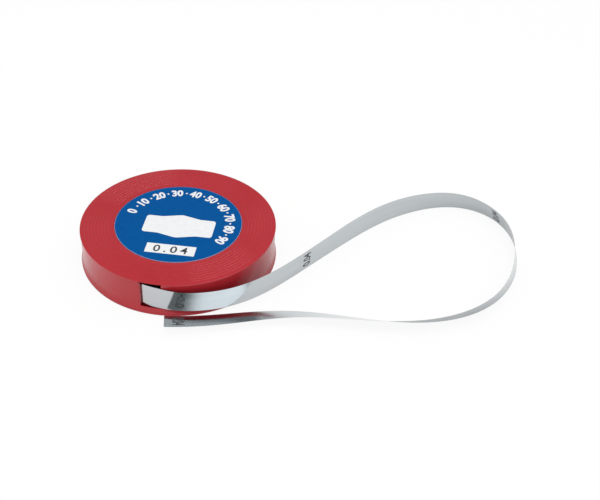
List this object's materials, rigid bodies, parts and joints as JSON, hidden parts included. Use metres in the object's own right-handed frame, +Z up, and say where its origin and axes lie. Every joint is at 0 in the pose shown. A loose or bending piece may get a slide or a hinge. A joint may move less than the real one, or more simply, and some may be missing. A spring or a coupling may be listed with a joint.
{
  "type": "shim stock roll",
  "caption": "Thin steel feeler tape wound in a flat round plastic dispenser with a side exit window, its end drawn out in a loop.",
  "frame": {"origin": "centre of the round dispenser's flat underside, on the surface it lies on", "axes": "+Z up through the top face and label, +X towards the end of the drawn-out loop, -Y towards the exit window's side"},
  "size_m": [0.2456, 0.1272, 0.0211],
  "materials": {
    "red_plastic": "glossy moulded",
    "blue_label": "satin print",
    "spring_steel": "bright rolled"
  },
  "bodies": {
    "root": {"case_cover": "red_plastic", "base_plate": "red_plastic", "label": "blue_label", "tape_coil": "spring_steel", "free_tape": "spring_steel"}
  },
  "joints": []
}
